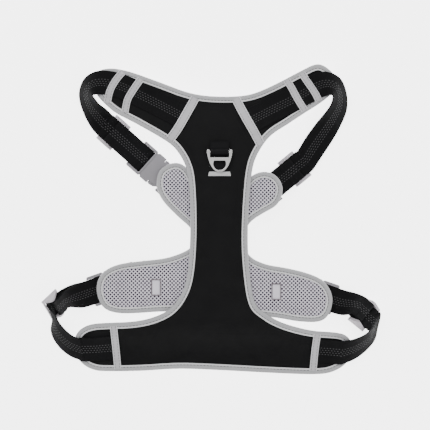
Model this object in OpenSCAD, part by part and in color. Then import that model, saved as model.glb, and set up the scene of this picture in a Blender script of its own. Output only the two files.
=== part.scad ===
// No-pull dog harness lying flat on a table with its back panel up.
// X runs across the harness, Y towards its neck end and Z up, in millimetres.
// The chest panel lies under the back panel, lining up, on top of the buckles.

/* [Overall] */
// Length from the tail edge to the tips of the neck arms
harness_l = 316; // [270:1:380]
// Width across the two girth loops
harness_w = 341; // [290:1:410]

/* [Panels] */
// Thickness of the outer fabric
shell_t = 0.6; // [0.5:0.1:1.2]
// Thickness of the foam padding
padding_t = 3.2; // [2.5:0.1:4.5]
// Thickness of the mesh lining
lining_t = 0.8; // [0.5:0.1:1.2]
// Visible width of the edge binding
binding_w = 6.2; // [5:0.1:7.5]
// Thickness of the binding tape
binding_t = 0.7; // [0.5:0.1:1]
// Width of the narrow bands across arms and wings
band_w = 7.2; // [5:0.1:9]
// Width of the two bands that edge the yoke
yoke_band_w = 9; // [7:0.1:12]
// Thickness of a band
band_t = 0.6; // [0.4:0.1:1]

/* [Webbing] */
// Width of the strap webbing
web_w = 25; // [20:1:30]
// Thickness of the strap webbing
web_t = 1.3; // [1:0.1:1.6]
// Width of the webbing that holds a leash ring
ring_web_w = 18.5; // [15:0.5:22]

/* [Hardware] */
// Height of the side-release buckles
buckle_h = 9.6; // [9:0.1:12]
// Reach of the buckle rails beyond the seam
rail_l = 17.4; // [15:0.1:22]
// Radius of the bars that the webbing wraps round
bar_r = 1.6; // [1.4:0.1:1.8]
// Travel of a buckle half on its way out of the socket
buckle_travel = 24; // [20:1:28]
// Length of an adjusting slider along the strap
slider_l = 19.6; // [17:0.2:24]
// Radius of the bars of a slider
slider_bar_r = 1.1; // [0.9:0.1:1.3]
// Radius of the bar of a leash ring
ring_bar_r = 1.5; // [1.2:0.1:1.8]
// Thickness of a leash ring
ring_t = 3; // [2.4:0.1:3.6]

/* [Clearances] */
// Gap between pieces that lie on each other
lay_gap = 0.3; // [0.2:0.1:0.6]
// Gap between webbing and the bar that it wraps
wrap_gap = 0.08; // [0.05:0.01:0.1]
// Gap between the moulded parts of a buckle
fit_gap = 0.3; // [0.2:0.05:0.4]

/* [Hidden] */
$fn = 40;

// The outlines and routes below are drawn for this length and width, about the spine line
drawn_l = 316;
drawn_w = 341;
drawn_top = 21.6;
drawn_arm_drop = 6.6;
drawn_tail_drop = 15.9;
scale_x = harness_w / drawn_w;
scale_y = harness_l / drawn_l;
// Distance from the middle of the harness to the spine line
spine_x = 6.6;

// Levels, from the table up
core_t = shell_t + padding_t + lining_t;
panel_t = core_t + 2 * binding_t;
chest_core_z = buckle_h + 0.4 + binding_t;
chest_top = chest_core_z + core_t;
back_core_z = chest_top + binding_t + lay_gap + binding_t;
back_top = back_core_z + core_t;
// The arms rest on the neck straps, high enough for a slider to pass under them
arm_rest_z = 9.7;
arm_drop = back_core_z - binding_t - arm_rest_z;
tail_drop = back_core_z - binding_t - 0.4;
arm_slope = [80, 128];
tail_slope = [100, 146];
slope_steps = 8;
reach = 400;

// Half width of the slot that webbing passes, and the rails beside it
slot_hw = web_w / 2 + 0.4;
rail_w = 2.8;
buckle_hw = slot_hw + rail_w;
buckle_mid = buckle_h / 2;
wall = 1.8;

// ---------- outlines, about the spine line ----------
back_outline = [
    [0, 124], [31, 126], [58, 137], [82, 149.5], [100, 157], [113, 150], [119.5, 140],
    [117, 130], [104, 118.5], [87, 107.5], [69, 95.5], [52.5, 84.5], [41, 69.5],
    [34, 52], [30.5, 20], [29, -21], [31, -55], [36, -84], [46, -94.5], [60.5, -103],
    [78, -109], [97, -113], [117, -114.5], [129, -118], [135.5, -129], [131.5, -144.5],
    [118, -154.5], [100, -158], [60, -157], [3, -154], [-40, -152.5], [-78, -154.5],
    [-110, -155], [-128, -153.5], [-141.5, -145], [-147, -131], [-143.5, -115],
    [-130.5, -106.5], [-110, -104.5], [-89, -103.5], [-68, -99.5], [-49, -90],
    [-36.5, -72], [-31, -48], [-29, -10], [-30, 30], [-33, 51], [-41, 67], [-53, 78.5],
    [-85, 97], [-107, 109], [-124, 126], [-130.5, 140], [-124, 149], [-110, 152.5],
    [-90, 149], [-60, 138.5], [-29, 127.5]
];
chest_outline = [
    [0, 26], [14, 28], [25, 36], [34, 44.5], [46, 48], [58, 43.5], [64.5, 31],
    [59, 15], [44, 5.5], [31, -4], [25, -20], [31, -37], [47, -45.5], [68, -49.5],
    [90, -55], [106, -63], [114.5, -78], [112, -94.5], [102, -103.5], [80, -103.5],
    [55, -99.5], [0, -94.5], [-52, -93.5], [-90, -95.5], [-108, -94], [-119, -87],
    [-124, -70], [-118, -54.5], [-102, -46], [-78.5, -42.5], [-57, -40], [-41, -35.5],
    [-29, -29], [-24.5, -19], [-29, -9], [-41, 2], [-56, 17.5], [-63, 32], [-61, 47.5],
    [-51, 55.5], [-40, 56.5], [-31, 50], [-24, 38], [-13, 29]
];

// ---------- routes of the webbing, about the spine line ----------
arm_route_left = [[-111.6, 137.3], [-99, 134], [-82, 126.5], [-60, 115.5], [-36, 103]];
arm_route_right = [[98.5, 134], [88, 128.5], [73, 120], [50, 108.5], [28, 97]];
wing_route_left = [[-146, -132], [-126, -132], [-103, -130]];
wing_route_right = [[134, -133], [118, -135], [96, -133.5]];

// Free straps from the panel to their slider: x, y, height, and the azimuth and elevation
// of the edge that faces the inside of the loop
neck_route_left = [
    [-112, 137.3, 16.5, 249, 0], [-118, 138, 17.4, 256, 3], [-125, 137, 19.6, 270, 14],
    [-131, 133.5, 20.4, 300, 35], [-134, 127, 19.2, 335, 48], [-133, 120, 16.8, 365, 48],
    [-129, 111.5, 12.6, 385, 40], [-123, 103.5, 7.6, 399, 19]
];
neck_route_right = [
    [99, 134.2, 16.5, -62, 0], [104.5, 136.3, 17.4, -68, 3], [111, 136.5, 19.7, -86, 14],
    [117.5, 133.5, 20.7, -118, 34], [121, 127.5, 19.4, -150, 48], [122, 120, 17, -178, 48],
    [120.5, 111.5, 13.8, -194, 42], [115, 101, 9.8, -205, 32], [106.5, 88, 6.2, -214, 16],
    [97, 74, 3.8, -222, 6]
];
girth_route_left = [
    [-140.8, -132, 13.2, 96, 20], [-150.3, -128, 12, 86, 24], [-159.5, -120.5, 10.4, 71, 34],
    [-165.8, -111.3, 10.8, 61, 45], [-167.8, -103, 12.8, 62, 56]
];
girth_route_right = [
    [125.3, -135.3, 12.4, 94, 19], [136, -132, 12.4, 101, 32], [146.5, -126, 12, 115, 47],
    [154, -118.8, 12, 137, 59], [156.3, -111, 13.3, 191, 63]
];

// Strap lines: seam or ring end and its heading, the slider's middle, then its heading, the
// angle it dips by, the angle it banks by, how far its strap reaches behind its middle, and how much it lifts there
line_neck_left = [[-71.6, 56], -41.8, [-107.6, 88.2, 3], -41.8, 0, 0, 12, 0];
line_neck_right = [[49, 28], 219.4, [77, 51, 3], 219.4, 0, 0, 12, 0];
line_girth_left = [[-113.8, -68.6], 19.5, [-165.5, -87, 17.5], 44, 17, 55, 5.7, 2.6];
line_girth_right = [[101.5, -76.9], 161, [147.3, -96.1, 12.2], 141, 8, 30, 9.7, 0];

// Where each anchor is sewn to the chest panel
sewn_neck_left = [-33, 16];
sewn_neck_right = [27, 12];
sewn_girth_left = [-60, -70];
sewn_girth_right = [54, -74];

// ---------- functions ----------
function placed(p) = [spine_x + p[0] * scale_x, p[1] * scale_y];
function unit(v) = v / norm(v);
function ease(t) = t <= 0 ? 0 : t >= 1 ? 1 : t * t * (3 - 2 * t);
function mix(a, b, t) = a + (b - a) * t;
function turned(v) = [-v[1], v[0]];
function curve_at(a, b, c, d, t) =
    (2 * b + (c - a) * t + (2 * a - 5 * b + 4 * c - d) * t * t + (3 * b - a - 3 * c + d) * t * t * t) / 2;
// A smooth closed curve through points
function closed_curve(pts, per) = [
    for (i = [0:len(pts) - 1], k = [0:per - 1])
        let (n = len(pts))
        curve_at(pts[(i + n - 1) % n], pts[i], pts[(i + 1) % n], pts[(i + 2) % n], k / per)
];
// A smooth open curve through points of any dimension
function open_curve(pts, per) = concat(
    [for (i = [0:len(pts) - 2], k = [0:per - 1])
        curve_at(pts[max(i - 1, 0)], pts[i], pts[i + 1], pts[min(i + 2, len(pts) - 1)], k / per)],
    [pts[len(pts) - 1]]
);
// Direction of a curve at its point i
function along(pts, i) = unit(pts[min(i + 1, len(pts) - 1)] - pts[max(i - 1, 0)]);
// An outline moved inwards; the outlines run clockwise
function inset(pts, d) = [
    for (i = [0:len(pts) - 1])
        let (n = len(pts), dir = unit(pts[(i + 1) % n] - pts[(i + n - 1) % n]))
        pts[i] - d * turned(dir)
];
// The outline of a band of width w that follows a path
function strip(path, w) = concat(
    [for (i = [0:len(path) - 1]) path[i] + turned(along(path, i)) * w / 2],
    [for (i = [len(path) - 1:-1:0]) path[i] - turned(along(path, i)) * w / 2]
);
function arc(c, r, from, to, steps) = [
    for (k = [0:steps]) c + r * [cos(mix(from, to, k / steps)), sin(mix(from, to, k / steps))]
];
function reversed(pts) = [for (i = [len(pts) - 1:-1:0]) pts[i]];
function sagged(y) =
    -arm_drop * ease((y / scale_y - arm_slope[0]) / (arm_slope[1] - arm_slope[0]))
    - tail_drop * ease((-y / scale_y - tail_slope[0]) / (tail_slope[1] - tail_slope[0]));
function facing(az, el) = [cos(az) * cos(el), sin(az) * cos(el), sin(el)];
function slider_mid(l) = concat(placed(l[2]), [l[2][2]]);
// Directions along the strap in a slider, to its left edge, and up through it
function slider_dir(l) = [cos(l[4]) * cos(l[3]), cos(l[4]) * sin(l[3]), -sin(l[4])];
function slider_left(l) =
    [sin(l[5]) * sin(l[4]) * cos(l[3]) - cos(l[5]) * sin(l[3]),
     sin(l[5]) * sin(l[4]) * sin(l[3]) + cos(l[5]) * cos(l[3]),
     sin(l[5]) * cos(l[4])];
function slider_up(l) = cross(slider_dir(l), slider_left(l));
// How far the back panel's top at y is above where the strap routes were drawn for it
function raised(y) = back_top - drawn_top
    - (arm_drop - drawn_arm_drop) * ease((y - arm_slope[0]) / (arm_slope[1] - arm_slope[0]))
    - (tail_drop - drawn_tail_drop) * ease((-y - tail_slope[0]) / (tail_slope[1] - tail_slope[0]));
// A station is a point followed by the direction of the strap's edge
function stations(route) = [
    for (i = [0:len(route) - 1])
        let (s = route[i], share = 1 - i / len(route))
        concat(placed(s), [s[2] + raised(s[1]) * share], facing(s[3], s[4]))
];
function in_slider_station(l, u, v, side = 1) =
    concat(slider_mid(l) + u * slider_dir(l) + v * slider_up(l), side * slider_left(l));
function on_line_station(l, x, z) =
    concat(placed(l[0]) + x * [cos(l[1]), sin(l[1])], [z], [-sin(l[1]), cos(l[1]), 0]);

back_edge = closed_curve([for (p = back_outline) placed(p)], 3);
chest_edge = closed_curve([for (p = chest_outline) placed(p)], 3);
sag_ys = concat(
    [-reach],
    [for (k = [slope_steps:-1:0]) -mix(tail_slope[0], tail_slope[1], k / slope_steps) * scale_y],
    [for (k = [0:slope_steps]) mix(arm_slope[0], arm_slope[1], k / slope_steps) * scale_y],
    [reach]
);
// Heights in a slider, above the middle of the strap that runs through it
slider_low_z = -(web_t / 2 + wrap_gap + slider_bar_r);
slider_high_z = web_t / 2 + web_t + 2 * wrap_gap + slider_bar_r;
wrap_r = slider_bar_r + wrap_gap + web_t;
return_z = slider_high_z + wrap_r - web_t / 2;
slider_wrap_l = 6;
// Radius of the middle of webbing that wraps a buckle bar
loop_r = bar_r + wrap_gap + web_t / 2;
bar_x = -(2 + wrap_gap + web_t + 0.6 + bar_r);
tail_bar_x = 31.4;

// ---------- shared shapes ----------
module prism(pts, low = -50, high = 100)
    translate([0, 0, low])
        linear_extrude(high - low)
            polygon(pts);

// A layer of the back panel, which sags at the arms and at the tail
module back_layer(low, high)
    rotate([90, 0, 90])
        translate([0, 0, -reach])
            linear_extrude(2 * reach)
                polygon(concat(
                    [for (y = sag_ys) [y, low + sagged(y)]],
                    [for (y = reversed(sag_ys)) [y, high + sagged(y)]]
                ));

module back_piece(low, high)
    intersection() {
        prism(inset(back_edge, binding_t));
        back_layer(low, high);
    }

// Tape folded round the edge of a panel: children 0 is the outer body, children 1 is the core
module folded_tape(edge) {
    difference() {
        children(0);
        children(1);
        prism(inset(edge, binding_w));
    }
}

// Webbing that lies flat on the back panel
module laid_webbing(route)
    intersection() {
        prism(strip(open_curve([for (p = route) placed(p)], 6), web_w));
        prism(inset(back_edge, binding_w + 0.1));
        back_layer(back_top, back_top + web_t);
    }

// A band across the back panel, which climbs over the webbing it crosses
module cross_band(path, w, route) {
    crossed = open_curve([for (p = route) placed(p)], 6);
    climbed = concat([crossed[0] - (band_t + 0.05) * along(crossed, 0)], crossed);
    difference() {
        intersection() {
            prism(strip(open_curve([for (p = path) placed(p)], 4), w));
            prism(inset(back_edge, binding_w + 0.05));
            union() {
                back_layer(back_top, back_top + band_t);
                intersection() {
                    back_layer(back_top, back_top + web_t + 0.05 + band_t);
                    prism(strip(climbed, web_w + 2 * band_t));
                }
            }
        }
        intersection() {
            prism(strip(crossed, web_w + 0.1));
            back_layer(back_top - 1, back_top + web_t + 0.05);
        }
    }
}

// A flat ribbon through stations, each a point and the direction to the strap's edge there
module ribbon(run) {
    n = len(run);
    spots = [for (s = run) [s[0], s[1], s[2]]];
    rings = [
        for (i = [0:n - 1])
            let (
                side = unit([run[i][3], run[i][4], run[i][5]]) * web_w / 2,
                rise = unit(cross(along(spots, i), side)) * web_t / 2
            )
            [spots[i] + side + rise, spots[i] + side - rise, spots[i] - side - rise, spots[i] - side + rise]
    ];
    polyhedron(
        points = [for (r = rings) each r],
        faces = concat(
            [[3, 2, 1, 0]],
            [for (i = [0:n - 2], k = [0:3], half = [0, 1])
                let (a = 4 * i + k, b = 4 * i + (k + 1) % 4)
                half == 0 ? [a, b, b + 4] : [a, b + 4, a + 4]],
            [[4 * n - 4, 4 * n - 3, 4 * n - 2, 4 * n - 1]]
        ),
        convexity = 6
    );
}

// Puts children on a strap line, with X towards the socket and zero at the seam
module on_line(l)
    translate([placed(l[0])[0], placed(l[0])[1], 0])
        rotate([0, 0, l[1]])
            children();

// Puts children in the frame of the slider of a strap line
module in_slider(l)
    translate(slider_mid(l))
        rotate([0, 0, l[3]])
            rotate([0, l[4], 0])
                rotate([l[5], 0, 0])
                    children();

// A strap from the panel to the near end of its slider
module free_strap(route, l, side)
    ribbon(open_curve(concat(
        stations(route),
        [in_slider_station(l, -l[6] - 2.6, l[7], side), in_slider_station(l, -l[6] - 0.6, 0.12 * l[7], side)]
    ), 5));

// Webbing of the full width, drawn as a path in the XZ plane of a strap line
module bent_webbing(path)
    rotate([90, 0, 0])
        translate([0, 0, -web_w / 2])
            linear_extrude(web_w)
                polygon(strip(path, web_t));

module bar_across(x, z, r, hw)
    translate([x, hw, z])
        rotate([90, 0, 0])
            cylinder(r = r, h = 2 * hw);

// Outline of a plate with cut corners
function plate(x0, x1, hw, cut) = [
    [x0 + cut, -hw], [x1 - cut, -hw], [x1, -hw + cut], [x1, hw - cut],
    [x1 - cut, hw], [x0 + cut, hw], [x0, hw - cut], [x0, -hw + cut]
];

low_z = buckle_mid - loop_r;
high_z = buckle_mid + loop_r;

// The doubled webbing of a strap, from its slider round the bar at the seam end and back
module strap_loop(l)
    ribbon(concat(
        open_curve([
            in_slider_station(l, -l[6], 0), in_slider_station(l, 0, 0), in_slider_station(l, 10.5, 0.35),
            in_slider_station(l, 12, 0.5),
            on_line_station(l, -24, low_z), on_line_station(l, -9, low_z), on_line_station(l, bar_x, low_z)
        ], 4),
        [for (a = [-75:30:75])
            on_line_station(l, bar_x + loop_r * cos(a), buckle_mid + loop_r * sin(a))],
        open_curve([
            on_line_station(l, bar_x, high_z), on_line_station(l, -9, high_z),
            on_line_station(l, -24, high_z), in_slider_station(l, 11, return_z),
            in_slider_station(l, slider_wrap_l + 0.3, return_z)
        ], 4)
    ));

module slider_frame() {
    foot = slider_low_z - slider_bar_r;
    side_plate = [
        [-slider_l / 2, foot], [-slider_l / 2, foot + 1.7], [-1.8, slider_high_z + slider_bar_r],
        [1.8, slider_high_z + slider_bar_r], [slider_l / 2, foot + 1.7], [slider_l / 2, foot]
    ];
    end_x = slider_l / 2 - slider_bar_r;
    for (side = [-1, 1])
        translate([0, side * (slot_hw + 1.5) + 1.5, 0])
            rotate([90, 0, 0])
                linear_extrude(3)
                    polygon(side_plate);
    for (x = [-end_x, end_x])
        bar_across(x, slider_low_z, slider_bar_r, slot_hw + 0.5);
    bar_across(0, slider_high_z, slider_bar_r, slot_hw + 0.5);
}

// The sewn end of the strap, folded round the middle bar of its slider
module slider_wrap()
    difference() {
        union() {
            bar_across(0, slider_high_z, wrap_r, web_w / 2);
            translate([0, -web_w / 2, slider_high_z + wrap_r - web_t])
                cube([slider_wrap_l, web_w, web_t]);
        }
        bar_across(0, slider_high_z, slider_bar_r + wrap_gap, web_w / 2 + 1);
    }

// ---------- buckle ----------
prong_x = 2.6;
prong_y = 8.2;
prong_hw = 1.5;
prong_low = wall + fit_gap;
prong_high = buckle_h - wall - fit_gap;
cavity_hw = buckle_hw - 2.6;
window_x0 = 10.6;
window_x1 = 22.4;

module buckle_male(l) {
    on_line(l)
        difference() {
            union() {
                translate([0, 0, 0.8])
                    linear_extrude(buckle_h - 1.6)
                        difference() {
                            polygon(plate(-rail_l, -0.1, buckle_hw, 1.2));
                            translate([-rail_l - 1, -slot_hw])
                                square([rail_l - 1, 2 * slot_hw]);
                        }
                bar_across(bar_x, buckle_mid, bar_r, slot_hw + 0.5);
                translate([-0.2, -cavity_hw + fit_gap, prong_low])
                    cube([3.2, 2 * (cavity_hw - fit_gap), prong_high - prong_low]);
                translate([2.9, -2.2, prong_low + 0.4])
                    cube([17.4, 4.4, prong_high - prong_low - 0.8]);
            }
            for (side = [-1, 1])
                translate([prong_x, side * prong_y, -1])
                    cylinder(r = prong_hw + 0.2 + wrap_gap, h = buckle_h + 2);
        }
}

module buckle_prong(l, side)
    on_line(l)
        scale([1, side, 1])
            translate([0, 0, prong_low]) {
                linear_extrude(prong_high - prong_low)
                    union() {
                        translate([prong_x, prong_y])
                            circle(r = prong_hw + 0.2);
                        polygon([
                            [prong_x, prong_y - prong_hw], [10, 7.4], [17, 8.2], [21.4, 8],
                            [22.1, 9.2], [21.6, 11.6], [18, 14.4], [13.2, 15.2], [11.2, 14.4],
                            [11.2, 11.4], [9.6, 10.6], [prong_x, prong_y + prong_hw]
                        ]);
                    }
            }

module buckle_socket(l)
    on_line(l)
        difference() {
            union() {
                linear_extrude(buckle_h)
                    difference() {
                        polygon(plate(0.1, 33.4, buckle_hw, 2));
                        translate([27, -slot_hw])
                            square([8, 2 * slot_hw]);
                    }
                bar_across(tail_bar_x, buckle_mid, bar_r, slot_hw + 0.5);
            }
            translate([-1, -cavity_hw, wall])
                cube([26, 2 * cavity_hw, buckle_h - 2 * wall]);
            for (side = [-1, 1])
                translate([window_x0, side > 0 ? cavity_hw - 1 : -cavity_hw - 5 + 1, -1])
                    cube([window_x1 - window_x0, 5, buckle_h + 2]);
        }

// Webbing from a socket or ring to the seam on the chest panel's outer face
module anchor(l, bar, sewn) {
    joined = placed(l[0]) + (bar + 9) * [cos(l[1]), sin(l[1])];
    top_z = chest_core_z - binding_t - lay_gap - web_t / 2;
    on_line(l)
        bent_webbing(concat(
            open_curve([[bar + 13, top_z - web_t - 0.1], [bar + 6, buckle_mid - loop_r + 1.2],
                [bar, buckle_mid - loop_r]], 4),
            arc([bar, buckle_mid], loop_r, 255, 105, 10),
            open_curve([[bar, buckle_mid + loop_r], [bar + 6, top_z - 0.5], [bar + 13, top_z]], 4)
        ));
    intersection() {
        prism(strip([joined, placed(sewn)], web_w), chest_core_z - web_t, chest_core_z);
        prism(inset(chest_edge, binding_w + 0.1));
    }
}

// ---------- leash ring, drawn with its bar along X at the origin and its eye towards -Y ----------
ring_end_y = 19.7;
ring_hw = 12.8;
module ring_body() {
    eye_y = -13.2;
    difference() {
        translate([0, 0, -ring_t / 2])
            linear_extrude(ring_t)
                difference() {
                    polygon(closed_curve([
                        [-10, 2], [-11.8, 2.6], [-ring_hw, 1.4], [-12.4, -2.5], [-10.8, -8.5],
                        [-7.8, -15], [-4, -19], [0, -ring_end_y], [4, -19], [7.8, -15],
                        [10.8, -8.5], [12.4, -2.5], [ring_hw, 1.4], [11.8, 2.6], [10, 2],
                        [9.6, -1], [0, -1.2], [-9.6, -1]
                    ], 4));
                    translate([-ring_web_w / 2 - 0.35, -5.4])
                        square([ring_web_w + 0.7, 9]);
                    intersection() {
                        translate([0, eye_y + 1.4])
                            circle(r = 6.4);
                        translate([-8, eye_y - 7])
                            square([16, 11.6]);
                    }
                }
    }
    rotate([0, 90, 0])
        translate([0, 0, -ring_web_w / 2 - 1])
            cylinder(r = ring_bar_r, h = ring_web_w + 2);
}

ring_loop_r = ring_bar_r + wrap_gap + web_t;
back_ring_at = [0.5, 67.3];
chest_ring_at = [0, -44];
base_t = 1.2;
back_ring_z = back_top + base_t + 0.05 + ring_loop_r;
chest_ring_z = chest_core_z - base_t - 0.05 - ring_loop_r;

// Webbing folded round a ring's bar and sewn to a base strip that lies on the panel
module ring_holder(below, above)
    difference() {
        union() {
            translate([-ring_web_w / 2, 0, 0])
                rotate([0, 90, 0])
                    cylinder(r = ring_loop_r, h = ring_web_w);
            translate([-ring_web_w / 2, 0, -ring_loop_r])
                cube([ring_web_w, above, 2 * web_t]);
            translate([-ring_web_w / 2, -below, -ring_loop_r - 0.05 - base_t])
                cube([ring_web_w, below + above, base_t + 0.1]);
        }
        translate([-ring_web_w, 0, 0])
            rotate([0, 90, 0])
                cylinder(r = ring_bar_r + wrap_gap, h = 2 * ring_web_w);
    }

module at_back_ring()
    translate([placed(back_ring_at)[0], placed(back_ring_at)[1], back_ring_z])
        children();

module at_chest_ring()
    translate([placed(chest_ring_at)[0], placed(chest_ring_at)[1], chest_ring_z])
        mirror([0, 0, 1])
            children();

// ---------- sub-parts ----------
module back_shell() color([0.11, 0.11, 0.12]) back_piece(back_top - shell_t, back_top);
module back_padding() color([0.85, 0.85, 0.82]) back_piece(back_core_z + lining_t, back_top - shell_t);
module back_lining() color([0.8, 0.78, 0.82]) back_piece(back_core_z, back_core_z + lining_t);
module back_binding()
    color([0.74, 0.74, 0.75])
        folded_tape(back_edge) {
            intersection() {
                prism(back_edge);
                back_layer(back_core_z - binding_t, back_top + binding_t);
            }
            back_piece(back_core_z, back_top);
        }

module chest_shell()
    color([0.11, 0.11, 0.12])
        prism(inset(chest_edge, binding_t), chest_core_z, chest_core_z + shell_t);
module chest_padding()
    color([0.85, 0.85, 0.82])
        prism(inset(chest_edge, binding_t), chest_core_z + shell_t, chest_top - lining_t);
module chest_lining()
    color([0.85, 0.83, 0.88])
        prism(inset(chest_edge, binding_t), chest_top - lining_t, chest_top);
module chest_binding()
    color([0.72, 0.72, 0.73])
        folded_tape(chest_edge) {
            prism(chest_edge, chest_core_z - binding_t, chest_top + binding_t);
            prism(inset(chest_edge, binding_t), chest_core_z, chest_top);
        }

module band_colour() color([0.74, 0.74, 0.76]) children();
module arm_tip_band_left()
    band_colour() cross_band([[-95, 152], [-104.5, 140], [-110, 130], [-114, 114]], band_w, arm_route_left);
module arm_mid_band_left()
    band_colour() cross_band([[-76, 144], [-87, 130], [-92.5, 120], [-96, 106]], band_w, arm_route_left);
module yoke_band_left()
    band_colour() cross_band([[-22, 127], [-32.5, 107], [-41, 92], [-53, 75]], yoke_band_w, arm_route_left);
module arm_tip_band_right()
    band_colour() cross_band([[82, 154], [89, 139], [96.5, 128], [103, 112]], band_w, arm_route_right);
module arm_mid_band_right()
    band_colour() cross_band([[67, 145], [73.5, 132], [80, 120], [89, 104]], band_w, arm_route_right);
module yoke_band_right()
    band_colour() cross_band([[14.5, 127], [26, 104], [35, 88], [44, 70]], yoke_band_w, arm_route_right);
module wing_band_left()
    band_colour() cross_band([[-106.6, -100], [-105, -125], [-102.6, -160]], band_w, wing_route_left);
module wing_band_right()
    band_colour() cross_band([[99.4, -108], [97.6, -130], [95, -162]], band_w, wing_route_right);

module webbing_colour() color([0.09, 0.09, 0.1]) children();
module arm_webbing_left() webbing_colour() laid_webbing(arm_route_left);
module arm_webbing_right() webbing_colour() laid_webbing(arm_route_right);
module wing_webbing_left() webbing_colour() laid_webbing(wing_route_left);
module wing_webbing_right() webbing_colour() laid_webbing(wing_route_right);

module back_ring() color([0.9, 0.9, 0.88]) at_back_ring() ring_body();
module back_ring_webbing() webbing_colour() at_back_ring() ring_holder(23.5, 10.5);
module back_ring_label()
    color([0.66, 0.65, 0.67])
        at_back_ring()
            translate([0, 0, -ring_loop_r + 0.05])
                linear_extrude(0.8)
                    polygon([[-11.5, -24], [11.5, -24], [10.5, -19.6], [-10.5, -19.6]]);

module chest_ring() color([0.9, 0.9, 0.88]) at_chest_ring() ring_body();
module chest_ring_webbing() webbing_colour() at_chest_ring() ring_holder(5, 11);
module chest_webbing()
    webbing_colour()
        prism(strip([placed([-46, -71]), placed([40, -75])], web_w), chest_core_z - web_t, chest_core_z);
module chest_bartacks()
    color([0.72, 0.71, 0.74]) {
        for (tab = [[-63.7, -69, 9, 15], [57.8, -73.3, 10, 16]])
            translate([placed(tab)[0] - tab[2] / 2, placed(tab)[1] - tab[3] / 2, chest_top])
                cube([tab[2], tab[3], 0.5]);
    }

module neck_strap_left() webbing_colour() free_strap(neck_route_left, line_neck_left, 1);
module neck_strap_right() webbing_colour() free_strap(neck_route_right, line_neck_right, -1);
module girth_strap_left() webbing_colour() free_strap(girth_route_left, line_girth_left, -1);
module girth_strap_right() webbing_colour() free_strap(girth_route_right, line_girth_right, 1);

module neck_loop_left() webbing_colour() strap_loop(line_neck_left);
module neck_loop_right() webbing_colour() strap_loop(line_neck_right);
module girth_loop_left() webbing_colour() strap_loop(line_girth_left);
module girth_loop_right() webbing_colour() strap_loop(line_girth_right);

module slider_colour() color([0.72, 0.7, 0.73]) children();
module neck_slider_left() slider_colour() in_slider(line_neck_left) slider_frame();
module neck_slider_right() slider_colour() in_slider(line_neck_right) slider_frame();
module girth_slider_left() slider_colour() in_slider(line_girth_left) slider_frame();
module girth_slider_right() slider_colour() in_slider(line_girth_right) slider_frame();

module neck_slider_wrap_left() webbing_colour() in_slider(line_neck_left) slider_wrap();
module neck_slider_wrap_right() webbing_colour() in_slider(line_neck_right) slider_wrap();
module girth_slider_wrap_left() webbing_colour() in_slider(line_girth_left) slider_wrap();
module girth_slider_wrap_right() webbing_colour() in_slider(line_girth_right) slider_wrap();

module buckle_colour() color([0.58, 0.57, 0.6]) children();
module neck_buckle_male() buckle_colour() buckle_male(line_neck_left);
module girth_buckle_male_left() buckle_colour() buckle_male(line_girth_left);
module girth_buckle_male_right() buckle_colour() buckle_male(line_girth_right);
module neck_buckle_socket() buckle_colour() buckle_socket(line_neck_left);
module girth_buckle_socket_left() buckle_colour() buckle_socket(line_girth_left);
module girth_buckle_socket_right() buckle_colour() buckle_socket(line_girth_right);
module neck_prong_inner() buckle_colour() buckle_prong(line_neck_left, 1);
module neck_prong_outer() buckle_colour() buckle_prong(line_neck_left, -1);
module girth_prong_inner_left() buckle_colour() buckle_prong(line_girth_left, 1);
module girth_prong_outer_left() buckle_colour() buckle_prong(line_girth_left, -1);
module girth_prong_inner_right() buckle_colour() buckle_prong(line_girth_right, 1);
module girth_prong_outer_right() buckle_colour() buckle_prong(line_girth_right, -1);

module neck_anchor() webbing_colour() anchor(line_neck_left, tail_bar_x, sewn_neck_left);
module girth_anchor_left() webbing_colour() anchor(line_girth_left, tail_bar_x, sewn_girth_left);
module girth_anchor_right() webbing_colour() anchor(line_girth_right, tail_bar_x, sewn_girth_right);
tab_bar_x = bar_x + 10;
module lobe_ring()
    buckle_colour()
        on_line(line_neck_right)
            union() {
                for (x = [bar_x, tab_bar_x])
                    bar_across(x, buckle_mid, bar_r, slot_hw + 0.5);
                for (side = [-1, 1])
                    translate([bar_x - 2, side * (slot_hw + 1.4) - 1.4, buckle_mid - bar_r])
                        cube([14, 2.8, 2 * bar_r]);
            }
module lobe_tab() webbing_colour() anchor(line_neck_right, tab_bar_x, sewn_neck_right);

back_shell();
back_padding();
back_lining();
back_binding();
chest_shell();
chest_padding();
chest_lining();
chest_binding();
arm_tip_band_left();
arm_mid_band_left();
yoke_band_left();
arm_tip_band_right();
arm_mid_band_right();
yoke_band_right();
wing_band_left();
wing_band_right();
arm_webbing_left();
arm_webbing_right();
wing_webbing_left();
wing_webbing_right();
back_ring();
back_ring_webbing();
back_ring_label();
chest_ring();
chest_ring_webbing();
chest_webbing();
chest_bartacks();
neck_strap_left();
neck_strap_right();
girth_strap_left();
girth_strap_right();
neck_loop_left();
neck_loop_right();
girth_loop_left();
girth_loop_right();
neck_slider_left();
neck_slider_right();
girth_slider_left();
girth_slider_right();
neck_slider_wrap_left();
neck_slider_wrap_right();
girth_slider_wrap_left();
girth_slider_wrap_right();
neck_buckle_male();
girth_buckle_male_left();
girth_buckle_male_right();
neck_buckle_socket();
girth_buckle_socket_left();
girth_buckle_socket_right();
neck_prong_inner();
neck_prong_outer();
girth_prong_inner_left();
girth_prong_outer_left();
girth_prong_inner_right();
girth_prong_outer_right();
neck_anchor();
girth_anchor_left();
girth_anchor_right();
lobe_ring();
lobe_tab();
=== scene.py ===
"""A no-pull dog harness laid flat: padded panels, bound edges, webbing and moulded hardware.

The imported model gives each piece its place. This script makes the pieces that are seen in its
place, in the same frame, in metres.
"""
import logging
import math
from dataclasses import dataclass
from enum import Enum
from typing import Callable, Sequence

import bmesh
import bpy
from mathutils import Matrix, Vector
from mathutils.bvhtree import BVHTree


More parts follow.
